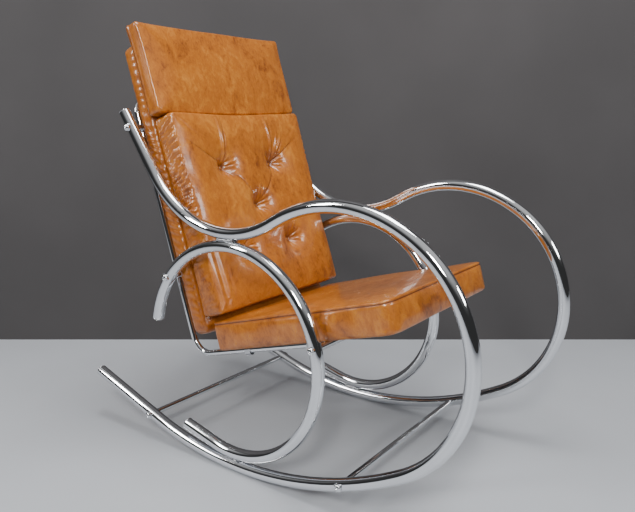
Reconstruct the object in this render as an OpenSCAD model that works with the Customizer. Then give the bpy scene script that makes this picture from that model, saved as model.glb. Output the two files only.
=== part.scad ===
// Tubular chrome rocking chair with a padded seat and a buttoned back.
// Millimetres. +Z is up, the sitter faces -Y, and X = 0 is the plane of symmetry.
// Z = 0 is the floor under the rockers, and Y = 0 is the middle of the overall length.
// A side frame lies in one plane. There a point is [u, z], with u measured forward
// from the place where the rocker touches the floor.

/* [Side tubes] */
// Outside diameter of the side-frame tubes
tube_od = 28; // [25:0.5:32]
// Wall thickness of the side-frame tubes
tube_wall = 2.4; // [1.2:0.1:2.5]
// Distance between the centre planes of the two side frames
frame_spacing = 510; // [490:5:560]

/* [Outer tube, from the tail forward] */
// Straight tail behind the rocker
tail_len = 228; // [150:1:260]
// Radius of the rocker's arc
rocker_r = 840; // [780:5:900]
// Angle of the rocker's arc behind the floor contact
rocker_rear = 18.6; // [15:0.1:22]
// Angle of the rocker's arc ahead of the floor contact
rocker_front = 30.2; // [29:0.1:31]
// Radius of the big front loop
front_r = 264; // [255:1:275]
// Turn of the big front loop
front_turn = 114.7; // [113:0.1:116]
// Radius of the crown that makes the armrest
crown_r = 295; // [275:5:315]
// Turn of the crown
crown_turn = 64; // [61:0.5:67]
// Straight behind the crown
arm_len = 20; // [5:1:40]
// Radius of the dip beside the back
dip_r = 265; // [250:5:280]
// Turn of the dip
dip_turn = 85; // [82:0.5:88]
// Straight at the upper rear end
top_len = 165; // [130:1:180]

/* [Inner loop tube] */
// Angle of the loop's centre about the rocker's centre, forward of the contact
loop_lean = -1; // [-2:0.1:1]
// Angle on the loop where its rear leg begins
leg_angle = 167; // [160:0.5:172]
// Length of the rear leg
leg_len = 14; // [10:1:50]
// Angle on the loop where its tail begins
loop_tail_angle = -104; // [-110:0.5:-98]
// Length of the loop's tail
loop_tail_len = 92; // [60:1:110]

/* [Cross-bars and rails] */
// Outside diameter of the cross-bars and of the seat and back rails
bar_od = 14; // [12:0.5:16]
// Wall thickness of the cross-bars and rails
bar_wall = 1.5; // [1:0.1:2]
// Distance of the upper back bar from the outer tube's top end
upper_bar_from_end = 41; // [36:1:44]
// Angle of the lower back bar on the inner loop
lower_bar_angle = 142; // [141:0.5:143]
// Angle of the seat bar on the inner loop
seat_bar_angle = 13.5; // [12:0.5:15]
// Distance of the rear rocker bar behind the end of the rocker's arc
rear_bar_back = 16; // [12:1:40]
// Angle of the front rocker bar ahead of the floor contact
front_bar_angle = 20; // [17:0.5:23]
// Distance between the centres of the two side rails
rail_spacing = 434; // [426:1:440]
// Radius of the side rails' bend behind the seat
rail_bend_r = 45; // [40:1:50]
// Height of the top rail above the corner of the side rails
rail_height = 624; // [600:1:640]
// Radius of the top rail's corners
top_corner_r = 30; // [20:1:40]

/* [Seat] */
// Slope of the seat, rising to the front
seat_tilt = 15.5; // [13:0.5:18]
// Width of the seat cushion
seat_w = 460; // [440:1:470]
// Length of the seat cushion
seat_len = 482; // [450:1:490]
// Thickness of the seat cushion at its edge
seat_thick = 70; // [60:1:80]
// Distance of the seat's rear edge from the corner of the rails
seat_rear = 78; // [76:1:95]

/* [Back] */
// Width of the rear panel
panel_w = 470; // [450:1:474]
// Thickness of the rear panel
panel_thick = 42; // [38:1:46]
// Height of the panel's lower edge above the corner of the rails
panel_low = 46; // [40:1:60]
// Height of the panel's upper edge above the corner of the rails
panel_top = 745; // [700:1:760]
// Width of the buttoned cushion
tuft_w = 468; // [450:1:474]
// Thickness of the buttoned cushion
tuft_thick = 64; // [56:1:70]
// Height of the buttoned cushion's lower edge above the corner of the rails
tuft_low = 84; // [80:1:95]
// Height of the joint between the buttoned cushion and the head cushion
crease_at = 562; // [550:1:575]
// Width of the head cushion, which lies above the side frames
head_w = 490; // [450:1:500]
// Thickness of the head cushion
head_thick = 43; // [38:1:50]
// Height of the head cushion's upper edge above the corner of the rails
head_top = 772; // [755:1:790]
// Sideways distance of the outer buttons from the middle
button_x = 90; // [80:1:120]
// Height between two rows of buttons
button_rise = 102; // [90:1:110]
// Height of the middle button above the corner of the rails
button_mid = 325; // [310:1:340]
// Diameter of a button
button_d = 20; // [16:1:26]

/* [Upholstery build] */
// Thickness of the covers
cover_t = 1.2; // [1:0.1:2]
// Thickness of the wadding between the back's foam and its covers
wadding_t = 8; // [2:0.5:10]
// Radius of the cushions' corners
pad_corner_r = 12; // [8:1:16]
// Thickness of the plywood board under the seat
seat_board_t = 15; // [10:0.5:16]
// Thickness of the plywood board in the rear panel
back_board_t = 6; // [6:0.5:9]

/* [Fasteners] */
// Diameter of the frame bolts
bolt_d = 8; // [6:0.5:10]
// Diameter of the domed bolt heads
bolt_head_d = 16; // [14:0.5:18]
// Diameter of the wood screws in the saddles
screw_d = 4; // [3.5:0.1:5]

/* [Hidden] */
$fn = 48;

chrome = [0.82, 0.83, 0.85];
steel = [0.62, 0.63, 0.65];
tan_vinyl = [0.72, 0.43, 0.14];
tan_dark = [0.60, 0.34, 0.10];
foam_cream = [0.90, 0.84, 0.66];
plywood = [0.76, 0.62, 0.42];
dust_black = [0.10, 0.10, 0.11];
cord_brown = [0.35, 0.22, 0.10];

join_len = 1;
join_proud = 0.1;
tube_r = tube_od / 2;
tube_id = tube_od - 2 * tube_wall;
bar_r = bar_od / 2;
bar_id = bar_od - 2 * bar_wall;
half = frame_spacing / 2;
bolt_hole_d = bolt_d + 0.4;

// ---- Plane geometry: headings are in degrees, 0 forward and 90 up ----
function ahead(h) = [cos(h), sin(h)];
function aside(h) = [-sin(h), cos(h)];
// A place is [point, heading] and a bend is [radius, turn]; radius 0 makes a straight
function after(place, bend) =
    bend[0] == 0 ? [place[0] + bend[1] * ahead(place[1]), place[1]] :
    let (side = sign(bend[1]), h = place[1] + bend[1])
    [place[0] + side * bend[0] * (aside(place[1]) - aside(h)), h];
function places(place, bends, i = 0) =
    i == len(bends) ? [place] :
    concat([place], places(after(place, bends[i]), bends, i + 1));
function bend_centre(place, bend) = place[0] + sign(bend[1]) * bend[0] * aside(place[1]);
// The length that a bend of radius r takes off each side of a corner
function corner_cut(r, turn) = r * tan(abs(turn) / 2);

// ---- Outer tube, from the tail's end to the upper rear end ----
rocker_centre = [0, tube_r + rocker_r];
outer_bends = [
    [0, tail_len], [rocker_r, rocker_rear + rocker_front], [front_r, front_turn],
    [crown_r, crown_turn], [0, arm_len], [dip_r, -dip_turn], [0, top_len]
];
tail_heading = -rocker_rear;
rocker_start = rocker_centre - rocker_r * aside(tail_heading);
outer_start = [rocker_start - tail_len * ahead(tail_heading), tail_heading];
outer_places = places(outer_start, outer_bends);
top_end = outer_places[7];
dip_centre = bend_centre(outer_places[5], outer_bends[5]);
front_centre = bend_centre(outer_places[2], outer_bends[2]);

// ---- Inner loop: its radius makes it touch both the dip and the rocker ----
loop_line = [sin(loop_lean), -cos(loop_lean)];
centre_gap = rocker_centre - dip_centre;
reach = rocker_r + dip_r;
loop_drop = (reach * reach - centre_gap * centre_gap) / (2 * (reach + centre_gap * loop_line));
loop_centre = rocker_centre + loop_drop * loop_line;
loop_r = rocker_r - tube_od - loop_drop;
function on_loop(a) = [loop_centre + loop_r * ahead(a), a - 90];
loop_turn = leg_angle - loop_tail_angle;
leg_heading = leg_angle - 90;
loop_start = [on_loop(leg_angle)[0] - leg_len * ahead(leg_heading), leg_heading];
loop_bends = [[0, leg_len], [loop_r, -loop_turn], [0, loop_tail_len]];
loop_end = places(loop_start, loop_bends)[3];

// ---- Cross-bars, each a [point, heading] on a side tube's centre line ----
function on_rocker(a) = [rocker_centre - rocker_r * aside(a), a];
upper_bar = [top_end[0] - upper_bar_from_end * ahead(top_end[1]), top_end[1]];
lower_bar = on_loop(lower_bar_angle);
seat_bar_at = on_loop(seat_bar_angle);
rear_bar = [rocker_start - rear_bar_back * ahead(tail_heading), tail_heading];
front_bar = on_rocker(front_bar_angle);
bars = [upper_bar, lower_bar, seat_bar_at, rear_bar, front_bar];

// ---- Rails: the back run lies just behind the two back bars, and the seat run
// ends on the seat bar. The corner is where the two centre lines cross ----
bar_rise = upper_bar[0] - lower_bar[0];
back_lean = atan2(-bar_rise[0], bar_rise[1]);
back_up = ahead(90 + back_lean);
back_front = ahead(back_lean);
seat_ahead = ahead(seat_tilt);
rail_line = lower_bar[0] - bar_od * back_front;
seat_run = (seat_bar_at[0] - rail_line) * back_front / (seat_ahead * back_front);
rail_corner = seat_bar_at[0] - seat_run * seat_ahead;
rail_turn = 90 + back_lean - (seat_tilt + 180);
rail_cut = corner_cut(rail_bend_r, rail_turn);

// ---- Overall length, which sets where Y = 0 is ----
cap_t = 2.5;
length_front = front_centre[0] + front_r + tube_r;
length_rear = outer_start[0][0] - cap_t * cos(tail_heading) - tube_r * sin(rocker_rear);
u_mid = (length_front + length_rear) / 2;

layer_gap = 0.2;
// ---- Stack of the back, measured forward from the rails' centre line ----
panel_n = bar_od + bar_r + 0.5;
front_n = panel_n + panel_thick + 0.3;
board_n = panel_n + cover_t + layer_gap;
tuft_front_n = front_n + tuft_thick;
// ---- Stack of the seat, measured up from the rails' centre line ----
seat_m = bar_r + 0.3;
seat_board_m = seat_m + cover_t + layer_gap;
seat_mid_a = seat_rear + seat_len / 2;
// The board stops short of the cushion's sides by this much
board_margin = 18;
// The covers turn in under the boards by this much
turn_in = 36;
foam_corner_r = 8;

saddle_t = 1.5;
saddle_w = 16;
saddle_ear = 12;
saddle_hole_x = bar_r + saddle_t + saddle_ear / 2;
screw_len = 9;
// Distances of the seat's saddles from its rear edge
seat_saddle_a = [seat_rear + 90, seat_rear + 270];
back_saddle_x = 120;
buttons = [
    [-button_x, 1], [button_x, 1], [0, 0], [-button_x, -1], [button_x, -1]
];

// ================= Placing =================
// Draws in the plane of the right side frame; local Z points outward
module in_right_plane() {
    translate([-half, u_mid, 0]) rotate([90, 0, -90]) children();
}
module both_sides() {
    in_right_plane() children();
    mirror([1, 0, 0]) in_right_plane() children();
}
module at(place) {
    translate([place[0][0], place[0][1], 0]) rotate([0, 0, place[1]]) children();
}
// Local X is across the chair, Y up the back and Z to the back's front
module on_back() {
    translate([0, u_mid - rail_corner[0], rail_corner[1]]) rotate([90 - back_lean, 0, 0]) children();
}
// Local X is across the chair, Y towards the rear and Z up from the seat
module on_seat() {
    translate([0, u_mid - rail_corner[0], rail_corner[1]]) rotate([-seat_tilt, 0, 0]) children();
}

// ================= Shared shapes =================
module ring(od, id) {
    difference() {
        circle(d = od);
        circle(d = id);
    }
}
// One straight or one bend of a tube
module tube_piece(place, next, bend, od, id) {
    if (bend[0] == 0)
        at(place) rotate([0, 90, 0]) linear_extrude(bend[1]) ring(od, id);
    else {
        c = bend_centre(place, bend);
        from = bend[1] > 0 ? place[1] - 90 : next[1] + 90;
        translate([c[0], c[1], 0]) rotate([0, 0, from]) rotate_extrude(angle = abs(bend[1]))
            translate([bend[0], 0]) ring(od, id);
    }
}
// A hollow tube through a list of bends, drawn in the plane. Where two bends meet, a
// hair-thin ring joins them into one solid
module bent_tube(start, bends, od, id) {
    line = places(start, bends);
    for (i = [0 : len(bends) - 1]) {
        tube_piece(line[i], line[i + 1], bends[i], od, id);
        if (i + 1 < len(bends)) at(line[i + 1]) rotate([0, 90, 0])
            linear_extrude(join_len, center = true) ring(od + 2 * join_proud, id - 2 * join_proud);
    }
}
module bolt_holes(list) {
    for (place = list) at(place) cylinder(d = bolt_hole_d, h = 2 * tube_od, center = true);
}
// A cushion's outline: a slab with rounded corners, centred on its middle
module pad(w, l, h, r) {
    linear_extrude(h, center = true) offset(r = r, $fn = 32)
        square([w - 2 * r, l - 2 * r], center = true);
}
module pad_core(w, l, h, gap) {
    inset = 2 * (cover_t + gap);
    pad(w - inset, l - inset, h - inset, max(1, pad_corner_r - cover_t - gap));
}
module pad_shell(w, l, h) {
    difference() {
        pad(w, l, h, pad_corner_r);
        pad_core(w, l, h, 0);
    }
}

// ================= Side frames =================
module outer_tube() {
    color(chrome) difference() {
        bent_tube(outer_start, outer_bends, tube_od, tube_id);
        bolt_holes([upper_bar, rear_bar, front_bar]);
    }
}
module inner_loop() {
    color(chrome) difference() {
        bent_tube(loop_start, loop_bends, tube_od, tube_id);
        bolt_holes([lower_bar, seat_bar_at]);
    }
}
module outer_tube_right() { in_right_plane() outer_tube(); }
module outer_tube_left() { mirror([1, 0, 0]) outer_tube_right(); }
module inner_loop_right() { in_right_plane() inner_loop(); }
module inner_loop_left() { mirror([1, 0, 0]) inner_loop_right(); }

// A push-in cap; local +X points out of the tube
module end_cap() {
    rotate([0, 90, 0]) rotate_extrude() polygon([
        [0, -9], [tube_id / 2, -9], [tube_id / 2, 0], [tube_r - 0.1, 0],
        [tube_r - 0.1, 1.4], [tube_r - 1.4, cap_t], [0, cap_t]
    ]);
}
module tube_end_caps() {
    backward = function(place) [place[0], place[1] + 180];
    color(chrome) both_sides() {
        at(backward(outer_start)) end_cap();
        at(top_end) end_cap();
        at(backward(loop_start)) end_cap();
        at(loop_end) end_cap();
    }
}

// Weld beads fill the two grooves where the loop touches the dip and the rocker
module beads(touch, heading) {
    for (s = [-1, 1]) translate([touch[0], touch[1], s * 6]) rotate([0, 0, heading])
        rotate([0, 90, 0]) cylinder(d = 8, h = 46, center = true);
}
module frame_welds() {
    rocker_touch = rocker_centre + (rocker_r - tube_r) * loop_line;
    dip_way = (loop_centre - dip_centre) / norm(loop_centre - dip_centre);
    dip_touch = dip_centre + (dip_r + tube_r) * dip_way;
    color(steel) both_sides() difference() {
        union() {
            beads(rocker_touch, loop_lean);
            beads(dip_touch, atan2(dip_way[1], dip_way[0]) + 90);
        }
        for (c = [[loop_centre, loop_r], [rocker_centre, rocker_r], [dip_centre, dip_r]])
            translate([c[0][0], c[0][1], 0]) rotate_extrude() translate([c[1], 0]) circle(r = tube_r);
    }
}

// ================= Cross-bars =================
bar_len = frame_spacing - tube_od;
insert_len = 24;
module cross_bar(place) {
    color(chrome) translate([0, u_mid - place[0][0], place[0][1]]) rotate([0, 90, 0])
        linear_extrude(bar_len, center = true) ring(bar_od, bar_id);
}
module upper_back_bar() { cross_bar(upper_bar); }
module lower_back_bar() { cross_bar(lower_bar); }
module seat_bar() { cross_bar(seat_bar_at); }
module rear_rocker_bar() { cross_bar(rear_bar); }
module front_rocker_bar() { cross_bar(front_bar); }

// Threaded inserts in the ends of the bars, which take the frame bolts
module bar_inserts() {
    color(steel) both_sides() for (place = bars) at(place)
        translate([0, 0, -tube_r - insert_len]) difference() {
            cylinder(d = bar_id, h = insert_len);
            translate([0, 0, -1]) cylinder(d = bolt_d, h = insert_len + 2);
        }
}
washer_out = tube_r + 2;
module frame_bolts() {
    socket_d = 5;
    color(chrome) both_sides() for (place = bars) at(place) difference() {
        union() {
            translate([0, 0, -tube_r - 16]) cylinder(d = bolt_d, h = tube_r + 16 + washer_out);
            translate([0, 0, washer_out]) rotate_extrude() polygon(concat(
                [[0, 0], [bolt_head_d / 2, 0], [bolt_head_d / 2, 1.2]],
                [for (a = [15 : 15 : 75]) [bolt_head_d / 2 * cos(a), 1.2 + 4.3 * sin(a)]],
                [[0, 5.5]]
            ));
        }
        translate([0, 0, washer_out + 2]) cylinder(d = socket_d, h = 6, $fn = 6);
    }
}
// Washers whose inner face is hollowed to sit on the round tube
module saddle_washers() {
    color(chrome) both_sides() for (place = bars) at(place) difference() {
        translate([0, 0, washer_out - 6]) cylinder(d = bolt_head_d + 2, h = 6);
        cylinder(d = bolt_hole_d, h = 2 * tube_od, center = true);
        rotate([0, 90, 0]) cylinder(d = tube_od + 0.3, h = 2 * tube_od, center = true);
    }
}

// ================= Seat and back rails =================
module side_rail_right() {
    start = [rail_corner + (rail_height - top_corner_r) * back_up, 270 + back_lean];
    bends = [
        [0, rail_height - top_corner_r - rail_cut], [rail_bend_r, -rail_turn],
        [0, seat_run - rail_cut - bar_r]
    ];
    color(chrome) translate([half - rail_spacing / 2, 0, 0]) in_right_plane()
        bent_tube(start, bends, bar_od, bar_id);
}
module side_rail_left() { mirror([1, 0, 0]) side_rail_right(); }
module top_rail() {
    w = rail_spacing / 2;
    straight = rail_spacing - 2 * top_corner_r;
    start = [[-w, rail_height - top_corner_r], 90];
    bends = [[top_corner_r, -90], [0, straight], [top_corner_r, -90]];
    color(chrome) on_back() bent_tube(start, bends, bar_od, bar_id);
}

// A saddle strap round a bar, with an ear on each side named. The bar runs along local Z,
// and the ears lie on the board, which is at local +Y
module saddle(ears) {
    out = bar_r + saddle_t;
    difference() {
        linear_extrude(saddle_w, center = true) difference() {
            union() {
                intersection() {
                    circle(r = out);
                    translate([-out, -out]) square([2 * out, out]);
                }
                for (s = [-1, 1]) translate([s * (bar_r + saddle_t / 2) - saddle_t / 2, -0.01])
                    square([saddle_t, bar_r - saddle_t + 0.02]);
                for (s = ears) mirror([s, 0]) translate([bar_r, bar_r - saddle_t])
                    square([saddle_t + saddle_ear, saddle_t]);
            }
            circle(r = bar_r);
            translate([-bar_r, 0]) square([bar_od, bar_od]);
        }
        for (s = ears) mirror([s, 0, 0]) translate([saddle_hole_x, 0, 0]) rotate([90, 0, 0])
            cylinder(d = screw_d + 0.5, h = 2 * bar_od, center = true);
    }
}
module screw() {
    head_d = 2 * screw_d;
    cylinder(d = screw_d, h = screw_len);
    translate([0, 0, -2]) cylinder(d = head_d, h = 2);
}
// Saddles under the seat hold it on the side rails. They have one ear, on local +X, which
// points inward. Those behind the panel hold it on the two back bars
one_ear = [0];
two_ears = [0, 1];
module each_seat_saddle() {
    on_seat() for (s = [0, 1], a = seat_saddle_a) mirror([s, 0, 0])
        translate([-rail_spacing / 2, -a, 0]) rotate([90, 0, 0]) children();
}
module each_back_saddle() {
    for (place = [upper_bar, lower_bar], s = [-1, 1])
        on_back() translate([s * back_saddle_x, (place[0] - rail_corner) * back_up, bar_od])
            rotate([0, 90, 0]) rotate([0, 0, 90]) children();
}
module ear_screws(ears) {
    for (s = ears) mirror([s, 0, 0]) translate([saddle_hole_x, bar_r - saddle_t, 0])
        rotate([-90, 0, 0]) screw();
}
module rail_saddles() {
    color(steel) {
        each_seat_saddle() saddle(one_ear);
        each_back_saddle() saddle(two_ears);
    }
}
module saddle_screws() {
    color(steel) {
        each_seat_saddle() ear_screws(one_ear);
        each_back_saddle() ear_screws(two_ears);
    }
}

// ================= Seat =================
module seat_board() {
    color(plywood) difference() {
        on_seat() translate([0, -seat_mid_a, seat_board_m + seat_board_t / 2])
            cube([seat_w - 2 * board_margin, seat_len - 2 * board_margin, seat_board_t], center = true);
        each_seat_saddle() ear_screws(one_ear);
    }
}
module seat_foam() {
    low = seat_board_m + seat_board_t + layer_gap;
    foam_h = seat_m + seat_thick - cover_t - layer_gap - low;
    inset = 2 * (cover_t + layer_gap);
    color(foam_cream) on_seat() translate([0, -seat_mid_a, low + foam_h / 2])
        pad(seat_w - inset, seat_len - inset, foam_h, foam_corner_r);
}
// The cover wraps round the board and turns in under it, leaving the middle open
module seat_cover() {
    color(tan_vinyl) difference() {
        on_seat() difference() {
            translate([0, -seat_mid_a, seat_m + seat_thick / 2])
                pad_shell(seat_w, seat_len, seat_thick);
            translate([0, -seat_mid_a, seat_m])
                cube([seat_w - 2 * turn_in, seat_len - 2 * turn_in, 3 * cover_t], center = true);
        }
        each_seat_saddle() ear_screws(one_ear);
    }
}
module seat_dust_cover() {
    dust_t = 0.8;
    color(dust_black) on_seat() translate([0, -seat_mid_a, seat_m + cover_t - dust_t / 2])
        cube([seat_w - 2 * turn_in - 2, seat_len - 2 * turn_in - 2, dust_t], center = true);
}

// ================= Back =================
panel_len = panel_top - panel_low;
panel_mid = [0, (panel_top + panel_low) / 2, panel_n + panel_thick / 2];
tuft_len = crease_at - tuft_low;
tuft_mid = [0, (crease_at + tuft_low) / 2, front_n + tuft_thick / 2];
head_len = head_top - crease_at - 1;
head_mid = [0, head_top - head_len / 2, front_n + head_thick / 2];
tie_d = 2;
tie_hole_d = tie_d + 0.6;
button_t = 6;
anchor_d = 16;
anchor_t = 1;

module each_button() {
    on_back() for (b = buttons) translate([b[0], button_mid + b[1] * button_rise, 0]) children();
}
module tie_holes() {
    each_button() translate([0, 0, board_n - 0.1])
        cylinder(d = tie_hole_d, h = tuft_front_n - board_n + 1);
}
module back_board() {
    color(plywood) difference() {
        on_back() translate([0, panel_mid[1], board_n + back_board_t / 2])
            cube([panel_w - 2 * board_margin, panel_len - 2 * board_margin, back_board_t],
                center = true);
        each_back_saddle() ear_screws(two_ears);
        tie_holes();
        each_button() translate([0, 0, board_n - 1])
            cylinder(d = anchor_d + 0.4, h = anchor_t + 1.2);
    }
}
module panel_foam() {
    low = board_n + back_board_t + layer_gap;
    foam_h = panel_n + panel_thick - cover_t - wadding_t - low;
    inset = 2 * (cover_t + wadding_t);
    color(foam_cream) difference() {
        on_back() translate([0, panel_mid[1], low + foam_h / 2])
            pad(panel_w - inset, panel_len - inset, foam_h, foam_corner_r);
        tie_holes();
    }
}
module panel_cover() {
    color(tan_dark) difference() {
        on_back() translate(panel_mid) pad_shell(panel_w, panel_len, panel_thick);
        each_back_saddle() ear_screws(two_ears);
        tie_holes();
    }
}
module buttoned_foam() {
    color(foam_cream) difference() {
        on_back() translate(tuft_mid) pad_core(tuft_w, tuft_len, tuft_thick, wadding_t);
        tie_holes();
    }
}
module buttoned_cover() {
    color(tan_vinyl) difference() {
        on_back() translate(tuft_mid) pad_shell(tuft_w, tuft_len, tuft_thick);
        tie_holes();
    }
}
module head_foam() {
    color(foam_cream) on_back() translate(head_mid) pad_core(head_w, head_len, head_thick, wadding_t);
}
module head_cover() {
    color(tan_vinyl) on_back() translate(head_mid) pad_shell(head_w, head_len, head_thick);
}
// Covered buttons sit on the front of the cushion
module tuft_buttons() {
    color(tan_dark) each_button() translate([0, 0, tuft_front_n]) rotate_extrude()
        polygon(concat([[0, 0]], [for (a = [0 : 15 : 75]) [button_d / 2 * cos(a), button_t * sin(a)]],
            [[0, button_t]]));
}
// Twine from each button through the cushion to a washer let into the board's rear face
module button_ties() {
    color(cord_brown) each_button() translate([0, 0, board_n])
        cylinder(d = tie_d, h = tuft_front_n - board_n);
}
module button_anchors() {
    color(steel) each_button() translate([0, 0, board_n]) difference() {
        cylinder(d = anchor_d, h = anchor_t);
        translate([0, 0, -1]) cylinder(d = tie_hole_d, h = anchor_t + 2);
    }
}

// ================= Drawing =================
outer_tube_right();
outer_tube_left();
inner_loop_right();
inner_loop_left();
tube_end_caps();
frame_welds();
upper_back_bar();
lower_back_bar();
seat_bar();
rear_rocker_bar();
front_rocker_bar();
bar_inserts();
frame_bolts();
saddle_washers();
side_rail_right();
side_rail_left();
top_rail();
rail_saddles();
saddle_screws();
seat_board();
seat_foam();
seat_cover();
seat_dust_cover();
back_board();
panel_foam();
panel_cover();
buttoned_foam();
buttoned_cover();
head_foam();
head_cover();
tuft_buttons();
button_ties();
button_anchors();
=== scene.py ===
import math

import bmesh
import bpy
import numpy as np
from mathutils import Matrix, Vector, noise


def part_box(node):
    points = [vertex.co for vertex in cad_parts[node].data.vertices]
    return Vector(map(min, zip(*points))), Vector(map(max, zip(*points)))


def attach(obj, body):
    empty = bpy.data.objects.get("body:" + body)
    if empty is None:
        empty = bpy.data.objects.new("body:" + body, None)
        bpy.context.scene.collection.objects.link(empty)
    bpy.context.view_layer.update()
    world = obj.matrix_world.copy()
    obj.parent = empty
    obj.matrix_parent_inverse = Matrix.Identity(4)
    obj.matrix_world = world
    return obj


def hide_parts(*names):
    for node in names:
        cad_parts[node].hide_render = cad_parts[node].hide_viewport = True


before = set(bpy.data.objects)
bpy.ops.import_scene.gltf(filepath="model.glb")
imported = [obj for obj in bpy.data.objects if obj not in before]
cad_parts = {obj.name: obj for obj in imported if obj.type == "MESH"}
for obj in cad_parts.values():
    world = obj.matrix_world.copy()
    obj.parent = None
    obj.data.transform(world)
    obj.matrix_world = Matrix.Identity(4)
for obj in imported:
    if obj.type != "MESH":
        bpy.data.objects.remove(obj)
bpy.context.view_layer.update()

# ======================= Outer tubes =======================
# Each side frame's outer tube is one 28 mm steel tube, bent cold round formers and then
# chrome plated: a straight tail, the rocker, the big front loop, the crown that makes the
# armrest, the dip beside the back and a straight upper end.
tube_d = 0.028
rocker_r = 0.840
rocker_rear = math.radians(18.6)
rocker_front = math.radians(30.2)
tail_len = 0.228
front_r = 0.264
crown_r = 0.295
dip_r = 0.265
outer_bends = [                 # (radius, turn), and (0, length) for a straight
    (0, tail_len),
    (rocker_r, rocker_rear + rocker_front),
    (front_r, math.radians(114.7)),
    (crown_r, math.radians(64)),
    (0, 0.020),
    (dip_r, math.radians(-85)),
    (0, 0.165),
]


def value_node(tree, kind, **settings):
    """Adds a shader node. A setting names a property of the node, or one of its inputs."""
    made = tree.nodes.new(kind)
    for name, value in settings.items():
        label = name.replace("_", " ")
        if label in made.inputs:
            made.inputs[label].default_value = value
        else:
            setattr(made, name, value)
    return made


def new_group(name, inputs, outputs):
    """A shader node group with its sockets, each (name, type, default)."""
    group = bpy.data.node_groups.new(name, "ShaderNodeTree")
    for label, kind, default in inputs:
        socket = group.interface.new_socket(label, in_out="INPUT", socket_type=kind)
        socket.default_value = default
    for label, kind in outputs:
        group.interface.new_socket(label, in_out="OUTPUT", socket_type=kind)
    return group, group.nodes.new("NodeGroupInput"), group.nodes.new("NodeGroupOutput")


def plating_marks_group():
    """Faint smudges, hairline wiping marks and a slow waviness of a polished surface."""
    group, given, out = new_group(
        "plating_marks",
        [("Least roughness", "NodeSocketFloat", 0.05),
         ("Most roughness", "NodeSocketFloat", 0.14),
         ("Smudge scale", "NodeSocketFloat", 14.0)],
        [("Roughness", "NodeSocketFloat"), ("Height", "NodeSocketFloat"),
         ("Smudge", "NodeSocketFloat")])
    link = group.links.new
    spot = value_node(group, "ShaderNodeTexCoord")
    smudge = value_node(group, "ShaderNodeTexNoise", Detail=5, Roughness=0.62, Distortion=0.8)
    wiped = value_node(group, "ShaderNodeMapping")
    wiped.inputs["Scale"].default_value = (900, 60, 60)
    hair = value_node(group, "ShaderNodeTexNoise", Scale=1.0, Detail=2)
    both = value_node(group, "ShaderNodeMath", operation="MULTIPLY_ADD")
    both.inputs[1].default_value = 0.25
    spread = value_node(group, "ShaderNodeMapRange")
    spread.inputs["From Min"].default_value = 0.42
    spread.inputs["From Max"].default_value = 0.85
    wave = value_node(group, "ShaderNodeTexNoise", Scale=26.0, Detail=1)
    link(spot.outputs["Object"], smudge.inputs["Vector"])
    link(given.outputs["Smudge scale"], smudge.inputs["Scale"])
    link(spot.outputs["Object"], wiped.inputs["Vector"])
    link(wiped.outputs["Vector"], hair.inputs["Vector"])
    link(spot.outputs["Object"], wave.inputs["Vector"])
    link(hair.outputs["Fac"], both.inputs[0])
    link(smudge.outputs["Fac"], both.inputs[2])
    link(both.outputs["Value"], spread.inputs["Value"])
    link(given.outputs["Least roughness"], spread.inputs["To Min"])
    link(given.outputs["Most roughness"], spread.inputs["To Max"])
    link(spread.outputs["Result"], out.inputs["Roughness"])
    link(wave.outputs["Fac"], out.inputs["Height"])
    link(smudge.outputs["Fac"], out.inputs["Smudge"])
    return group


plating_marks = plating_marks_group()


def polished_metal(name, bright, dull, least, most, smudge_scale, waviness):
    """A polished or plated metal with its faint marks."""
    material = bpy.data.materials.new(name)
    material.use_nodes = True
    tree = material.node_tree
    shader = tree.nodes["Principled BSDF"]
    shader.inputs["Metallic"].default_value = 1.0
    marks = tree.nodes.new("ShaderNodeGroup")
    marks.node_tree = plating_marks
    marks.inputs["Least roughness"].default_value = least
    marks.inputs["Most roughness"].default_value = most
    marks.inputs["Smudge scale"].default_value = smudge_scale
    tint = value_node(tree, "ShaderNodeMix", data_type="RGBA")
    tint.inputs[6].default_value = (*bright, 1)
    tint.inputs[7].default_value = (*dull, 1)
    bump = value_node(tree, "ShaderNodeBump", Strength=waviness, Distance=0.001)
    tree.links.new(marks.outputs["Smudge"], tint.inputs[0])
    tree.links.new(tint.outputs[2], shader.inputs["Base Color"])
    tree.links.new(marks.outputs["Roughness"], shader.inputs["Roughness"])
    tree.links.new(marks.outputs["Height"], bump.inputs["Height"])
    tree.links.new(bump.outputs["Normal"], shader.inputs["Normal"])
    return material


chrome = polished_metal("chrome_plating", (0.86, 0.87, 0.89), (0.70, 0.72, 0.75),
                        0.02, 0.08, 16, 0.05)


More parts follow.
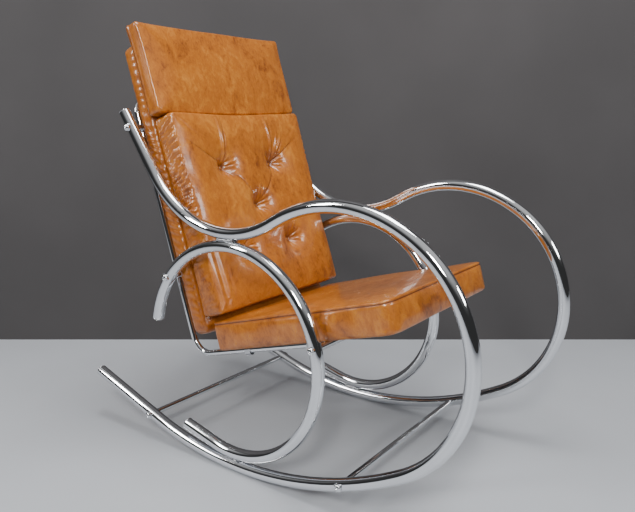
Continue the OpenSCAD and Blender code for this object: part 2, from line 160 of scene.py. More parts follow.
def bent_tube(diameter, bends, start, heading, place, sides=40, ring_gap=0.008):
    """A closed tube drawn in its own plane, x forward and y up, and then put in its place."""
    bm = bmesh.new()
    bmesh.ops.create_circle(bm, segments=sides, radius=diameter / 2)
    across = (Matrix.Translation((*start, 0)) @ Matrix.Rotation(heading, 4, "Z")
              @ Matrix.Rotation(math.pi / 2, 4, "Y"))
    bmesh.ops.transform(bm, matrix=across, verts=bm.verts[:])
    rim = bm.edges[:]
    ends = [rim]
    spot = Vector((*start, 0))
    for radius, turn in bends:
        ahead = Vector((math.cos(heading), math.sin(heading), 0))
        left = Vector((-ahead.y, ahead.x, 0))
        if radius == 0:
            run = bmesh.ops.extrude_edge_only(bm, edges=rim)["geom"]
            moved = [g for g in run if isinstance(g, bmesh.types.BMVert)]
            bmesh.ops.translate(bm, vec=ahead * turn, verts=moved)
            rim = [g for g in run if isinstance(g, bmesh.types.BMEdge)
                   and all(v in moved for v in g.verts)]
            spot = spot + ahead * turn
            continue
        side = math.copysign(1, turn)
        centre = spot + left * radius * side
        rings = max(4, round(radius * abs(turn) / ring_gap))
        run = bmesh.ops.spin(bm, geom=rim, cent=centre, axis=(0, 0, 1), angle=turn,
                             steps=rings, use_merge=False, use_duplicate=False)
        rim = [g for g in run["geom_last"] if isinstance(g, bmesh.types.BMEdge)]
        heading += turn
        spot = centre + Vector((math.sin(heading), -math.cos(heading), 0)) * radius * side
    for edges in (ends[0], rim):
        bmesh.ops.contextual_create(bm, geom=edges)
    bmesh.ops.recalc_face_normals(bm, faces=bm.faces[:])
    bmesh.ops.transform(bm, matrix=place, verts=bm.verts[:])
    return bm


def finished_piece(name, bm, material, nodes=(), smooth=40):
    """Makes a bmesh into a piece that belongs to the chair and stands for its CAD nodes."""
    mesh = bpy.data.meshes.new(name)
    bm.to_mesh(mesh)
    bm.free()
    mesh.shade_smooth()
    mesh.set_sharp_from_angle(angle=math.radians(smooth))
    mesh.materials.append(material)
    piece = bpy.data.objects.new(name, mesh)
    bpy.context.collection.objects.link(piece)
    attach(piece, "root")
    if nodes:
        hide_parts(*nodes)
    return piece


def mirrored(bm):
    """A copy on the other side of the chair, with its faces still pointing outwards."""
    other = bm.copy()
    bmesh.ops.scale(other, vec=(-1, 1, 1), verts=other.verts[:])
    bmesh.ops.reverse_faces(other, faces=other.faces[:])
    return other


right_low, right_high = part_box("outer_tube_right")
frame_x = (right_low[0] + right_high[0]) / 2
rocker_centre = Vector((0, tube_d / 2 + rocker_r))
rocker_start = rocker_centre + rocker_r * Vector((-math.sin(rocker_rear), -math.cos(rocker_rear)))
tail_way = Vector((math.cos(rocker_rear), -math.sin(rocker_rear)))
outer_start = rocker_start - tail_len * tail_way
# The front loop's foremost point says where the rocker meets the floor along the chair
front_centre = (rocker_centre + Vector((math.sin(rocker_front), -math.cos(rocker_front)))
                * (rocker_r - front_r))
contact_y = right_low[1] + front_centre.x + front_r + tube_d / 2
side_plane = Matrix(((0, 0, -1, frame_x), (-1, 0, 0, contact_y), (0, 1, 0, 0), (0, 0, 0, 1)))

outer = bent_tube(tube_d, outer_bends, outer_start, -rocker_rear, side_plane)
finished_piece("outer_tube_left_chrome", mirrored(outer), chrome, ["outer_tube_left"])
finished_piece("outer_tube_right_chrome", outer, chrome, ["outer_tube_right"])

# ======================= Inner loops =======================
# The round inner loop of the same tube touches the dip above and the rocker below. Its
# short leg hangs down behind and its tail runs out behind the rocker.
loop_centre = Vector((-0.0100, 0.2803))
loop_r = 0.2382
leg_angle = math.radians(167)
loop_tail_angle = math.radians(-104)
leg_len = 0.014
loop_bends = [(0, leg_len), (loop_r, loop_tail_angle - leg_angle), (0, 0.092)]
leg_heading = leg_angle - math.pi / 2
leg_start = (loop_centre + loop_r * Vector((math.cos(leg_angle), math.sin(leg_angle)))
             - leg_len * Vector((math.cos(leg_heading), math.sin(leg_heading))))
loop = bent_tube(tube_d, loop_bends, leg_start, leg_heading, side_plane)
finished_piece("inner_loop_left_chrome", mirrored(loop), chrome, ["inner_loop_left"])
finished_piece("inner_loop_right_chrome", loop, chrome, ["inner_loop_right"])


# ======================= Caps, bars, bolts and rails =======================
# Small turned and pressed parts keep their CAD shape. Each is welded into one closed
# mesh first, so that its round faces shade smoothly.
def smoothed_copy(node, material):
    """The CAD part's own mesh, merged and shaded smoothly, in a better material."""
    bm = bmesh.new()
    bm.from_mesh(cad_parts[node].data)
    bmesh.ops.remove_doubles(bm, verts=bm.verts[:], dist=1e-6)
    return finished_piece(node + "_fine", bm, material, [node], smooth=32)


cap_metal = polished_metal("cap_metal", (0.78, 0.79, 0.81), (0.60, 0.61, 0.64),
                           0.12, 0.28, 30, 0.05)
zinc = polished_metal("zinc_plated_steel", (0.66, 0.67, 0.69), (0.48, 0.49, 0.52),
                      0.25, 0.45, 60, 0.2)
smoothed_copy("tube_end_caps", cap_metal)
for part in ("frame_bolts", "saddle_washers"):
    smoothed_copy(part, chrome)
for part in ("rail_saddles", "saddle_screws", "bar_inserts", "button_anchors"):
    smoothed_copy(part, zinc)
# The welds are tinted darker than the chrome as painted shade, so each joint reads as shadowed
weld_shade_metal = polished_metal("weld_plating_painted_shade", (0.50, 0.51, 0.53), (0.34, 0.35, 0.37),
                            0.20, 0.38, 60, 0.4)
smoothed_copy("frame_welds", weld_shade_metal)

# Five round bars of 14 mm tube tie the side frames together. Each is cut square and
# bolted through the side tubes into threaded inserts.
bar_d = 0.014


def middle_of(node):
    low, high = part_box(node)
    return (Vector(low) + Vector(high)) / 2


for bar in ("upper_back_bar", "lower_back_bar", "seat_bar", "rear_rocker_bar", "front_rocker_bar"):
    bar_low, bar_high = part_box(bar)
    bar_mid = middle_of(bar)
    bar_place = Matrix.Translation((0, bar_mid.y, bar_mid.z))
    bar_run = [(0, bar_high[0] - bar_low[0])]
    finished_piece(bar + "_chrome", bent_tube(bar_d, bar_run, (bar_low[0], 0), 0, bar_place, sides=32),
                   chrome, [bar])

# The thin rails lie just behind the two back bars, turn under the seat and end on the
# seat bar. A top rail with round corners joins them behind the panel.
rail_spacing = 0.434
rail_bend_r = 0.045
rail_height = 0.624
top_corner_r = 0.030
seat_tilt = math.radians(15.5)
upper_mid = middle_of("upper_back_bar")
lower_mid = middle_of("lower_back_bar")
seat_bar_mid = middle_of("seat_bar")
back_lean = math.atan2(upper_mid.y - lower_mid.y, upper_mid.z - lower_mid.z)
back_up = Vector((0, math.sin(back_lean), math.cos(back_lean)))
back_front = Vector((0, -math.cos(back_lean), math.sin(back_lean)))
seat_ahead = Vector((0, -math.cos(seat_tilt), math.sin(seat_tilt)))
seat_up = Vector((0, math.sin(seat_tilt), math.cos(seat_tilt)))
rail_line = lower_mid - bar_d * back_front
seat_run = (seat_bar_mid - rail_line).dot(back_front) / seat_ahead.dot(back_front)
rail_corner = seat_bar_mid - seat_run * seat_ahead
rail_corner.x = 0


def placed(across, up, towards, origin):
    """The matrix that takes a piece drawn in its own plane to its place on the chair."""
    place = Matrix((across, up, towards)).transposed().to_4x4()
    place.translation = origin
    return place


sideways = Vector((1, 0, 0))
back_plane = placed(sideways, back_up, back_front, rail_corner)
seat_plane = placed(sideways, -seat_ahead, seat_up, rail_corner)
rail_turn = math.pi / 2 - back_lean + seat_tilt - math.pi
rail_cut = rail_bend_r * math.tan(abs(rail_turn) / 2)
rail_side = Matrix(((0, 0, -1, -rail_spacing / 2), (-1, 0, 0, rail_corner.y),
                    (0, 1, 0, rail_corner.z), (0, 0, 0, 1)))
rail_top = (rail_height - top_corner_r) * Vector((-math.sin(back_lean), math.cos(back_lean)))
rail_bends = [(0, rail_height - top_corner_r - rail_cut),
              (rail_bend_r, math.pi / 2 - back_lean + seat_tilt),
              (0, seat_run - rail_cut - bar_d / 2)]
side_rail = bent_tube(bar_d, rail_bends, rail_top, back_lean - math.pi / 2, rail_side,
                      sides=28, ring_gap=0.004)
finished_piece("side_rail_left_chrome", mirrored(side_rail), chrome, ["side_rail_left"])
finished_piece("side_rail_right_chrome", side_rail, chrome, ["side_rail_right"])
top_bends = [(top_corner_r, -math.pi / 2), (0, rail_spacing - 2 * top_corner_r),
             (top_corner_r, -math.pi / 2)]
top_rail = bent_tube(bar_d, top_bends, (-rail_spacing / 2, rail_height - top_corner_r),
                     math.pi / 2, back_plane, sides=28, ring_gap=0.004)
finished_piece("top_rail_chrome", top_rail, chrome, ["top_rail"])


# ======================= Boards =======================
# Plain birch plywood boards stiffen the seat and the rear panel. They are wholly inside.
def plywood_material():
    material = bpy.data.materials.new("birch_plywood")
    material.use_nodes = True
    tree = material.node_tree
    shader = tree.nodes["Principled BSDF"]
    shader.inputs["Roughness"].default_value = 0.7
    spot = value_node(tree, "ShaderNodeTexCoord")
    along = value_node(tree, "ShaderNodeMapping")
    along.inputs["Scale"].default_value = (60, 6, 6)
    grain = value_node(tree, "ShaderNodeTexNoise", Scale=2.0, Detail=6, Distortion=0.6)
    shades = value_node(tree, "ShaderNodeValToRGB")
    shades.color_ramp.elements[0].color = (0.52, 0.36, 0.20, 1)
    shades.color_ramp.elements[1].color = (0.76, 0.60, 0.40, 1)
    tree.links.new(spot.outputs["Object"], along.inputs["Vector"])
    tree.links.new(along.outputs["Vector"], grain.inputs["Vector"])
    tree.links.new(grain.outputs["Fac"], shades.inputs["Fac"])
    tree.links.new(shades.outputs["Color"], shader.inputs["Base Color"])
    return material


plywood = plywood_material()
for board in ("seat_board", "back_board"):
    smoothed_copy(board, plywood)


# ======================= Seat cushion =======================
# A box cushion of foam in glossy caramel vinyl: a top panel sewn to a 70 mm boxing, with
# one plain seam round the top edge. It is soft at the corners and crowned a little.
def marbled_vinyl_group():
    """The cloudy print of the vinyl, its fine grain, and painted shade: a dark line along a seam or
    crease, and darkening in folds.
    """
    group, given, out = new_group(
        "vinyl_print_and_fold_shade",
        [("Light", "NodeSocketColor", (0.66, 0.27, 0.05, 1)),
         ("Middle", "NodeSocketColor", (0.50, 0.17, 0.02, 1)),
         ("Dark", "NodeSocketColor", (0.28, 0.075, 0.008, 1)),
         ("Lean", "NodeSocketFloat", 0.3),
         ("Seam distance", "NodeSocketFloat", 1.0),
         ("Fold shade", "NodeSocketFloat", 0.0)],
        [("Color", "NodeSocketColor"), ("Roughness", "NodeSocketFloat"),
         ("Height", "NodeSocketFloat")])
    link = group.links.new
    spot = value_node(group, "ShaderNodeTexCoord")
    turned = value_node(group, "ShaderNodeMapping")
    tilt = value_node(group, "ShaderNodeCombineXYZ")
    link(given.outputs["Lean"], tilt.inputs["X"])
    link(tilt.outputs["Vector"], turned.inputs["Rotation"])
    link(spot.outputs["Object"], turned.inputs["Vector"])
    drawn = value_node(group, "ShaderNodeMapping")
    drawn.inputs["Scale"].default_value = (1.0, 1.0, 0.62)
    link(turned.outputs["Vector"], drawn.inputs["Vector"])
    patches = value_node(group, "ShaderNodeTexNoise", Scale=30.0, Detail=6, Roughness=0.66,
                         Distortion=0.8)
    streaks = value_node(group, "ShaderNodeTexNoise", Scale=120.0, Detail=4, Roughness=0.65,
                         Distortion=1.2)
    broad = value_node(group, "ShaderNodeTexNoise", Scale=6.0, Detail=2)
    for print_layer in (patches, streaks):
        link(drawn.outputs["Vector"], print_layer.inputs["Vector"])
    link(spot.outputs["Object"], broad.inputs["Vector"])
    first = value_node(group, "ShaderNodeMix", data_type="FLOAT")
    first.inputs[0].default_value = 0.42
    link(patches.outputs["Fac"], first.inputs[2])
    link(streaks.outputs["Fac"], first.inputs[3])
    tone = value_node(group, "ShaderNodeMix", data_type="FLOAT")
    tone.inputs[0].default_value = 0.22
    link(first.outputs[0], tone.inputs[2])
    link(broad.outputs["Fac"], tone.inputs[3])
    low = value_node(group, "ShaderNodeMapRange", interpolation_type="SMOOTHSTEP")
    low.inputs["From Min"].default_value = 0.36
    low.inputs["From Max"].default_value = 0.51
    high = value_node(group, "ShaderNodeMapRange", interpolation_type="SMOOTHSTEP")
    high.inputs["From Min"].default_value = 0.49
    high.inputs["From Max"].default_value = 0.66
    link(tone.outputs[0], low.inputs["Value"])
    link(tone.outputs[0], high.inputs["Value"])
    darker = value_node(group, "ShaderNodeMix", data_type="RGBA")
    link(low.outputs["Result"], darker.inputs[0])
    link(given.outputs["Dark"], darker.inputs[6])
    link(given.outputs["Middle"], darker.inputs[7])
    lighter = value_node(group, "ShaderNodeMix", data_type="RGBA")
    link(high.outputs["Result"], lighter.inputs[0])
    link(darker.outputs[2], lighter.inputs[6])
    link(given.outputs["Light"], lighter.inputs[7])
    # Painted shade: a seam or a tight crease is a thin dark line, and a fold's hollow is darkened
    line = value_node(group, "ShaderNodeMapRange", interpolation_type="SMOOTHSTEP")
    line.inputs["From Min"].default_value = 0.0004
    line.inputs["From Max"].default_value = 0.0019
    line.inputs["To Min"].default_value = 0.9
    line.inputs["To Max"].default_value = 0.0
    apart = value_node(group, "ShaderNodeMath", operation="ABSOLUTE")
    link(given.outputs["Seam distance"], apart.inputs[0])
    link(apart.outputs["Value"], line.inputs["Value"])
    shade = value_node(group, "ShaderNodeMath", operation="MAXIMUM", use_clamp=True)
    link(line.outputs["Result"], shade.inputs[0])
    link(given.outputs["Fold shade"], shade.inputs[1])
    # The dark brown multiplied in here is painted shade for seams, creases and fold hollows
    crease_shade = value_node(group, "ShaderNodeMix", data_type="RGBA", blend_type="MULTIPLY")
    crease_shade.inputs[7].default_value = (0.20, 0.10, 0.05, 1)
    link(shade.outputs["Value"], crease_shade.inputs[0])
    link(lighter.outputs[2], crease_shade.inputs[6])
    link(crease_shade.outputs[2], out.inputs["Color"])
    # Gloss varies with the print, and the grain is a fine pebble
    gloss = value_node(group, "ShaderNodeMapRange")
    gloss.inputs["From Min"].default_value = 0.35
    gloss.inputs["From Max"].default_value = 0.65
    gloss.inputs["To Min"].default_value = 0.36
    gloss.inputs["To Max"].default_value = 0.25
    link(tone.outputs[0], gloss.inputs["Value"])
    link(gloss.outputs["Result"], out.inputs["Roughness"])
    pebble = value_node(group, "ShaderNodeTexVoronoi", Scale=620.0, feature="SMOOTH_F1")
    link(spot.outputs["Object"], pebble.inputs["Vector"])
    rough = value_node(group, "ShaderNodeTexNoise", Scale=90.0, Detail=3)
    link(spot.outputs["Object"], rough.inputs["Vector"])
    relief = value_node(group, "ShaderNodeMath", operation="MULTIPLY_ADD")
    relief.inputs[1].default_value = 0.5
    link(pebble.outputs["Distance"], relief.inputs[0])
    link(rough.outputs["Fac"], relief.inputs[2])
    sunk = value_node(group, "ShaderNodeMath", operation="MULTIPLY_ADD")
    sunk.inputs[1].default_value = -3.0
    link(line.outputs["Result"], sunk.inputs[0])
    link(relief.outputs["Value"], sunk.inputs[2])
    link(sunk.outputs["Value"], out.inputs["Height"])
    return group


vinyl_print_and_fold_shade = marbled_vinyl_group()


def vinyl(name, light, middle, dark, lean):
    """Glossy printed vinyl. It reads where the piece's own seams and folds are, and paints shade along
    them.
    """
    material = bpy.data.materials.new(name)
    material.use_nodes = True
    tree = material.node_tree
    shader = tree.nodes["Principled BSDF"]
    shader.inputs["Coat Weight"].default_value = 0.5
    shader.inputs["Coat Roughness"].default_value = 0.10
    shader.inputs["Specular IOR Level"].default_value = 0.5
    seam = value_node(tree, "ShaderNodeAttribute", attribute_name="seam_distance")
    # The attribute read next holds painted shade for creases, troughs and grooves
    fold_shade = value_node(tree, "ShaderNodeAttribute", attribute_name="fold_shade")
    skin = tree.nodes.new("ShaderNodeGroup")
    skin.node_tree = vinyl_print_and_fold_shade
    skin.inputs["Light"].default_value = (*light, 1)
    skin.inputs["Middle"].default_value = (*middle, 1)
    skin.inputs["Dark"].default_value = (*dark, 1)
    skin.inputs["Lean"].default_value = lean
    bump = value_node(tree, "ShaderNodeBump", Strength=0.35, Distance=0.0006)
    link = tree.links.new
    link(seam.outputs["Fac"], skin.inputs["Seam distance"])
    link(fold_shade.outputs["Fac"], skin.inputs["Fold shade"])
    link(skin.outputs["Color"], shader.inputs["Base Color"])
    link(skin.outputs["Roughness"], shader.inputs["Roughness"])
    link(skin.outputs["Height"], bump.inputs["Height"])
    link(bump.outputs["Normal"], shader.inputs["Normal"])
    return material


caramel = vinyl("caramel_vinyl", (0.57, 0.215, 0.030), (0.40, 0.120, 0.011),
                (0.19, 0.046, 0.004), back_lean)
scene = bpy.context.scene


def evaluated(obj):
    """The object's mesh with its modifiers applied, in place of the one it had."""
    graph = bpy.context.evaluated_depsgraph_get()
    mesh = bpy.data.meshes.new_from_object(obj.evaluated_get(graph))
    obj.modifiers.clear()
    obj.data = mesh
    return obj


def points_of(mesh):
    flat = np.empty(len(mesh.vertices) * 3)
    mesh.vertices.foreach_get("co", flat)
    return flat.reshape(-1, 3)


def normals_of(mesh):
    flat = np.empty(len(mesh.vertices) * 3)
    mesh.vertex_normals.foreach_get("vector", flat)
    return flat.reshape(-1, 3)


def set_points(mesh, points):
    mesh.vertices.foreach_set("co", points.ravel())
    mesh.update()


def set_attribute(mesh, name, values):
    layer = mesh.attributes.new(name, "FLOAT", "POINT")
    layer.data.foreach_set("value", np.asarray(values, dtype=np.float32))


def wandering(points, pitch, shift=(0, 0, 0), order=(0, 1, 2)):
    """Smooth noise at each point, at its own pitch along each axis, which order may swap."""
    drawn = points[:, order] * pitch + shift
    return np.array([noise.noise(Vector(spot)) for spot in drawn])


def rim_gap(points, width, length, corners):
    """How far inside the cushion's outline each point is, in plan."""
    corner = np.where(points[:, 1] > 0, *corners)
    x = np.abs(points[:, 0]) - (width / 2 - corner)
    y = np.abs(points[:, 1]) - (length / 2 - corner)
    outside = np.hypot(np.maximum(x, 0), np.maximum(y, 0))
    return corner - outside - np.minimum(np.maximum(x, y), 0)


def stuffed_pad(name, size, corners, edge, slack, voxel, most, dents=(), pull=0.0):
    """A foam-filled cover: a soft-edged block, pressed out by its filling between its seams.

    Local x is across, y along and z through it. Its back is flat, because it rests on a
    board. The block starts smaller by slack, and no point moves further than most. The
    corners are the outline's radii at +y and at -y, and edge is the front rim's radius.
    Each dent is (x, y, depth, spread) on the front.
    """
    width, length = size[0] - 2 * slack, size[1] - 2 * slack
    back = -size[2] / 2
    front = size[2] / 2 - slack
    back_edge = 0.004
    bm = bmesh.new()
    bmesh.ops.create_cube(bm, size=1)
    bmesh.ops.scale(bm, vec=(width, length, front - back), verts=bm.verts[:])
    bmesh.ops.translate(bm, vec=(0, 0, -slack / 2), verts=bm.verts[:])
    for corner, end in zip(corners, (1, -1)):
        upright = [e for e in bm.edges if all(v.co.y * end > length / 2 - 1e-6 for v in e.verts)
                   and abs(e.verts[0].co.z - e.verts[1].co.z) > slack]
        bmesh.ops.bevel(bm, geom=upright, offset=corner, segments=8, profile=0.5,
                        affect="EDGES", material=-1)
    for level, radius in ((front, edge), (back, back_edge)):
        rim = [e for e in bm.edges if all(abs(v.co.z - level) < 1e-6 for v in e.verts)]
        bmesh.ops.bevel(bm, geom=rim, offset=radius, segments=5, profile=0.5,
                        affect="EDGES", material=-1)
    mesh = bpy.data.meshes.new(name)
    bm.to_mesh(mesh)
    bm.free()
    pad = bpy.data.objects.new(name, mesh)
    bpy.context.collection.objects.link(pad)
    remesh = pad.modifiers.new("even_faces", "REMESH")
    remesh.mode = "VOXEL"
    remesh.voxel_size = voxel
    evaluated(pad)
    points = points_of(pad.data)
    # The long sides draw in a little between the corners
    points[:, 0] -= np.sign(points[:, 0]) * pull * np.cos(math.pi * points[:, 1] / length) * (
        np.abs(points[:, 0]) / (width / 2))
    rise = np.clip((points[:, 2] - back) / (front - back), 0, 1)
    pinned = points[:, 2] < back + 0.6 * back_edge
    for x, y, deep, spread in dents:
        away = np.hypot(points[:, 0] - x, points[:, 1] - y)
        points[:, 2] -= rise * deep * np.exp(-(away / spread) ** 1.5)
        pinned |= (away < 0.011) & (rise > 0.5)
    near_rim = rim_gap(points, width, length, corners) < edge * 0.55
    pinned |= near_rim & (points[:, 2] > front - edge * 0.55)
    set_points(pad.data, points)
    held = pad.vertex_groups.new(name="held")
    held.add([int(i) for i in np.flatnonzero(pinned)], 1.0, "REPLACE")
    cloth = pad.modifiers.new("filling", "CLOTH").settings
    cloth.quality = 5
    cloth.mass = 0.3
    cloth.tension_stiffness = 15
    cloth.compression_stiffness = 15
    cloth.shear_stiffness = 5
    cloth.bending_stiffness = 0.6
    cloth.use_pressure = True
    cloth.uniform_pressure_force = 4
    cloth.effector_weights.gravity = 0
    cloth.vertex_group_mass = "held"
    for moment in range(1, 21):
        scene.frame_set(moment)
    evaluated(pad)
    scene.frame_set(1)
    pad.vertex_groups.clear()
    moved = points_of(pad.data) - points
    reach = np.linalg.norm(moved, axis=1, keepdims=True) + 1e-9
    points = points + moved / reach * most * np.tanh(reach / most)
    # The sides stay between the tubes, and the back lies on its board
    spare = 0.003
    over = np.maximum(np.abs(points[:, 0]) - size[0] / 2, 0)
    points[:, 0] -= np.sign(points[:, 0]) * (over - spare * np.tanh(over / spare))
    points[:, 2] = np.maximum(points[:, 2], back)
    set_points(pad.data, points)
    finer = pad.modifiers.new("finer", "SUBSURF")
    finer.levels = 1
    finer.render_levels = 1
    evaluated(pad)
    pad.data.name = name
    return pad


def cover_piece(pad, place, material, nodes):
    """Puts a finished cushion in its place on the chair."""
    pad.data.transform(place)
    pad.data.shade_smooth()
    pad.data.materials.clear()
    pad.data.materials.append(material)
    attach(pad, "root")
    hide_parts(*nodes)
    return pad


seat_width = 0.460
seat_len = 0.482
seat_thick = 0.070
seat_rear = 0.078
seat_low = bar_d / 2 + 0.0003
seat_corners = (0.008, 0.030)
seat_edge = 0.006
seat_slack = 0.002
seat = stuffed_pad("seat_cushion", (seat_width, seat_len, seat_thick), seat_corners, seat_edge,
                   seat_slack, 0.0050, 0.008, pull=0.002)


seam_deep = 0.0014
lip_high = 0.0010
lip_above = 0.004


def seat_seams(pad):
    """One seam round the top of the boxing, and soft hollows in the slack vinyl, with painted shade in
    the seam's groove.
    """
    mesh = pad.data
    points = points_of(mesh)
    facing = normals_of(mesh)
    seam_z = seat_thick / 2 - seat_slack - seat_edge
    on_side = np.clip(1.4 * np.hypot(facing[:, 0], facing[:, 1]) - 0.35, 0, 1)
    above = points[:, 2] - seam_z
    groove = on_side * np.exp(-(above / 0.0026) ** 2)
    lip = np.exp(-((above - lip_above) / 0.0028) ** 2)
    points += facing * (lip_high * lip - seam_deep * groove)[:, None]
    lazy = wandering(points, (9, 9, 22))
    ripple = wandering(points, (32, 32, 9), (7, 0, 0))
    free = np.clip((points[:, 2] + seat_thick / 2) / 0.010, 0, 1)
    points += facing * ((free * (0.0020 * lazy + 0.0012 * ripple * on_side))[:, None])
    set_points(mesh, points)
    # Painted shade: a dark line along the seam, and darkening in its groove
    set_attribute(mesh, "seam_distance", above)
    set_attribute(mesh, "fold_shade", 0.45 * groove)


seat_seams(seat)
seat_place = seat_plane @ Matrix.Translation((0, -(seat_rear + seat_len / 2), seat_low + seat_thick / 2))
cover_piece(seat, seat_place, caramel, ["seat_cover", "seat_foam"])

# ======================= Rear panel =======================
# A padded board behind the cushions, in the same vinyl drawn over a rounded foam edge. It
# is held to the two back bars, and shows at both sides and behind.
panel_thick = 0.042
panel_low = 0.046
panel_high = 0.745
panel_n = bar_d + bar_d / 2 + 0.0005
panel_len = panel_high - panel_low
caramel_back = vinyl("caramel_vinyl_back", (0.50, 0.18, 0.027), (0.37, 0.11, 0.011),
                     (0.21, 0.052, 0.005), back_lean)
panel_width = 0.470
panel = stuffed_pad("rear_panel", (panel_width, panel_len, panel_thick), (0.022, 0.022), 0.014,
                    0.002, 0.0060, 0.006)


wrinkle_high = 0.0015
wrinkle_gap = 0.017


def panel_wrinkles(pad):
    """Short slanting wrinkles where the vinyl was drawn round the panel's edge, with painted shade in
    their troughs.
    """
    mesh = pad.data
    points = points_of(mesh)
    facing = normals_of(mesh)
    on_side = np.clip(1.5 * np.abs(facing[:, 0]) - 0.4, 0, 1)
    along = points[:, 1]
    worn = np.exp(-((along - 0.02) / 0.10) ** 2) + 0.25
    wander = wandering(points, (18, 30, 4), order=(1, 2, 0))
    wave = np.sin(2 * math.pi * (along + 0.5 * points[:, 2]) / wrinkle_gap + 5 * wander)
    points += facing * ((wrinkle_high * on_side * worn * wave)[:, None])
    lazy = wandering(points, (8, 8, 20), (0, 0, 3))
    free = np.clip((points[:, 2] + panel_thick / 2) / 0.008, 0, 1)
    points += facing * ((0.0014 * lazy * free)[:, None])
    set_points(mesh, points)
    set_attribute(mesh, "seam_distance", np.full(len(points), 0.05))
    # Painted shade darkens the troughs of the wrinkles on the sides
    set_attribute(mesh, "fold_shade", 0.12 * on_side * worn * np.clip(-wave, 0, 1))


panel_wrinkles(panel)
panel_place = back_plane @ Matrix.Translation((0, (panel_low + panel_high) / 2,
                                               panel_n + panel_thick / 2))
cover_piece(panel, panel_place, caramel_back, ["panel_cover", "panel_foam"])

# ======================= Buttoned cushion =======================
# The lower back cushion is soft foam, buttoned through to the board in a five of dice. The
# buttons sink deep, folds run between them and out to the edges, and the boxing gathers.
front_n = panel_n + panel_thick + 0.0003
tuft_width = 0.468
tuft_thick = 0.064
tuft_low = 0.084
crease_at = 0.562
tuft_len = crease_at - tuft_low
tuft_corners = (0.010, 0.006)
tuft_edge = 0.008
tuft_slack = 0.003
button_deep = 0.031
button_x = 0.090
button_rise = 0.102
button_mid = 0.325
tuft_mid = (tuft_low + crease_at) / 2
buttons = [Vector((x, button_mid - tuft_mid + y)) for x, y in (
    (-button_x, button_rise), (button_x, button_rise), (0, 0),
    (-button_x, -button_rise), (button_x, -button_rise))]
half_w = tuft_width / 2
half_l = tuft_len / 2
tuft = stuffed_pad("buttoned_cushion", (tuft_width, tuft_len, tuft_thick), tuft_corners, tuft_edge,
                   tuft_slack, 0.0047, 0.010, dents=[(b.x, b.y, button_deep, 0.025) for b in buttons],
                   pull=0.002)
# The joint with the head cushion hangs down this much in the middle
crease_sag = 0.006


def sagged(points, end, reach):
    """Lets a cushion's edge at y = end hang down in the middle, fading out over reach."""
    near = np.clip(1 - np.abs(points[:, 1] - end) / reach, 0, 1)
    points[:, 1] -= crease_sag * near * np.cos(math.pi * points[:, 0] / tuft_width)


def along_line(points, start, end):
    """Each point's distance to the left of a line, and how far along it the point lies."""
    way = end - start
    far = way.length
    way = way / far
    dx = points[:, 0] - start.x
    dy = points[:, 1] - start.y
    return -dx * way.y + dy * way.x, (dx * way.x + dy * way.y) / far


def creases():
    """Each crease is (from, to, depth, width), with both ends on the cushion's front."""
    lines = [(buttons[b], buttons[2], deep, 0.0040) for b, deep in (
        (0, 0.0022), (1, 0.0020), (3, 0.0010), (4, 0.0010))]
    for b, side in ((0, -1), (1, 1)):
        edge_point = Vector((side * half_w * 0.90, buttons[b].y + 0.070))
        lines.append((buttons[b], edge_point, 0.0030 if side < 0 else 0.0012, 0.0042))
    return lines


def tucks():
    """Each tuck is a narrow raised fold: (from, to, height, width)."""
    up = [(0, -0.003, half_l), (0, 0.005, half_l * 0.97), (1, -0.014, half_l), (1, -0.006, half_l * 0.97),
          (1, 0.026, buttons[1].y + 0.074), (1, 0.042, buttons[1].y + 0.068),
          (2, 0.010, buttons[2].y + 0.050), (2, 0.026, buttons[2].y + 0.042),
          (3, 0.016, buttons[3].y + 0.045), (4, 0.018, buttons[4].y + 0.045)]
    return [(buttons[b], Vector((buttons[b].x + shift, top)), 0.0026, 0.0026) for b, shift, top in up]


pleat_high = 0.0019
gather_high = 0.0032
gather_gap = 0.0190
fine_gather_gap = 0.0105
side_ridge_high = 0.0018


